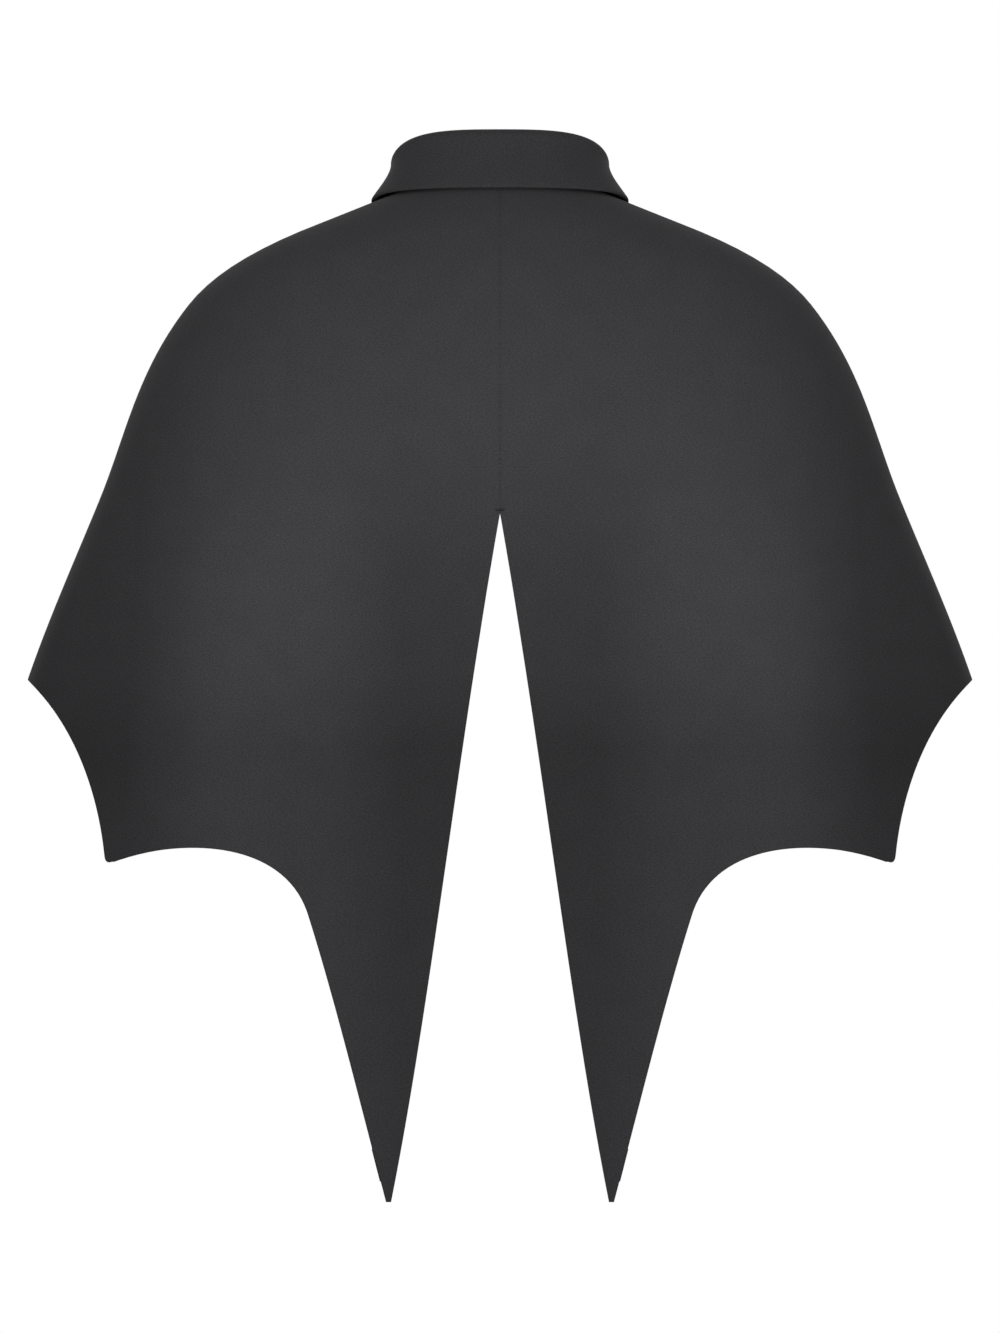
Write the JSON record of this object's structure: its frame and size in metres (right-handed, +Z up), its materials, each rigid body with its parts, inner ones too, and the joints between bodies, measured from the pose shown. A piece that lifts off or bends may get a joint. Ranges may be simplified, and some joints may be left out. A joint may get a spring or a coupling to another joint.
{
  "type": "superhero cape",
  "caption": "Short lined wool cape with a turned-down collar, centre-back vent and a scalloped bat-wing hem that ends in long back points.",
  "frame": {"origin": "centre of the neck opening, level with the shoulder neck points", "axes": "+Z up, +Y towards the wearer's back, +X towards the wearer's left"},
  "size_m": [0.756, 0.3235, 0.8518],
  "materials": {
    "wool": "matte felted wool, fine nap",
    "wool_facing": "matte felted wool, fine nap",
    "lining": "satin twill lining",
    "canvas": "plain woven interlining",
    "snap_metal": "dark lacquered brass",
    "label": "blank woven satin",
    "thread": "twisted polyester thread"
  },
  "bodies": {
    "yoke": {"back_shell_left": "wool", "back_shell_right": "wool", "front_shell_left": "wool", "front_shell_right": "wool", "front_facing_left": "wool_facing", "front_facing_right": "wool_facing", "vent_facing_top_left": "wool_facing", "vent_facing_top_right": "wool_facing", "centre_back_allowance_left": "wool_facing", "centre_back_allowance_right": "wool_facing", "overarm_allowance_left": "wool_facing", "overarm_allowance_right": "wool_facing", "back_neck_facing": "wool_facing", "back_lining_left": "lining", "back_lining_right": "lining", "front_lining_left": "lining", "front_lining_right": "lining", "collar_fall_upper": "wool", "collar_fall_under": "wool", "collar_stand_inner": "wool", "collar_stand_outer": "wool", "front_tab_anchor": "wool", "collar_fall_interlining": "canvas", "collar_stand_interlining": "canvas", "neck_stay_tape": "canvas", "snap_stud": "snap_metal", "snap_post": "snap_metal", "neck_label": "label", "vent_bar_tack": "thread"},
    "tail_left": {"tail_shell_left": "wool", "tail_lining_left": "lining", "vent_facing_left": "wool_facing"},
    "front_flap_left": {"front_flap_shell_left": "wool", "front_flap_lining_left": "lining", "front_flap_facing_left": "wool_facing"},
    "tail_right": {"tail_shell_right": "wool", "tail_lining_right": "lining", "vent_facing_right": "wool_facing"},
    "front_flap_right": {"front_flap_shell_right": "wool", "front_flap_lining_right": "lining", "front_flap_facing_right": "wool_facing"},
    "front_tab": {"front_tab_outer": "wool", "front_tab_interlining": "canvas", "front_tab_lining": "lining", "snap_cap": "snap_metal", "snap_socket": "snap_metal"},
    "hanger_loop": {"hanger_loop": "lining"}
  },
  "joints": [
    {"name": "tail_left_lift", "type": "hinge", "parent": "yoke", "child": "tail_left", "pos_m": [0.1671, 0.1477, -0.4422], "axis": [0.859, -0.0631, -0.508], "range_deg": [0, 75]},
    {"name": "tail_right_lift", "type": "hinge", "parent": "yoke", "child": "tail_right", "pos_m": [-0.1671, 0.1477, -0.4422], "axis": [0.859, 0.0631, 0.508], "range_deg": [0, 75]},
    {"name": "front_flap_left_lift", "type": "hinge", "parent": "yoke", "child": "front_flap_left", "pos_m": [0.1422, -0.1213, -0.3304], "axis": [-0.5991, -0.0264, 0.8003], "range_deg": [0, 80]},
    {"name": "front_flap_right_lift", "type": "hinge", "parent": "yoke", "child": "front_flap_right", "pos_m": [-0.1422, -0.1213, -0.3304], "axis": [-0.5991, 0.0264, -0.8003], "range_deg": [0, 80]},
    {"name": "front_tab_swing", "type": "hinge", "parent": "yoke", "child": "front_tab", "pos_m": [0.031, -0.1152, -0.118], "axis": [0, 0.342, 0.9397], "range_deg": [0, 120]},
    {"name": "hanger_loop_swing", "type": "hinge", "parent": "yoke", "child": "hanger_loop", "pos_m": [0, 0.0595, 0.012], "axis": [-1, 0, 0], "range_deg": [0, 140]}
  ]
}
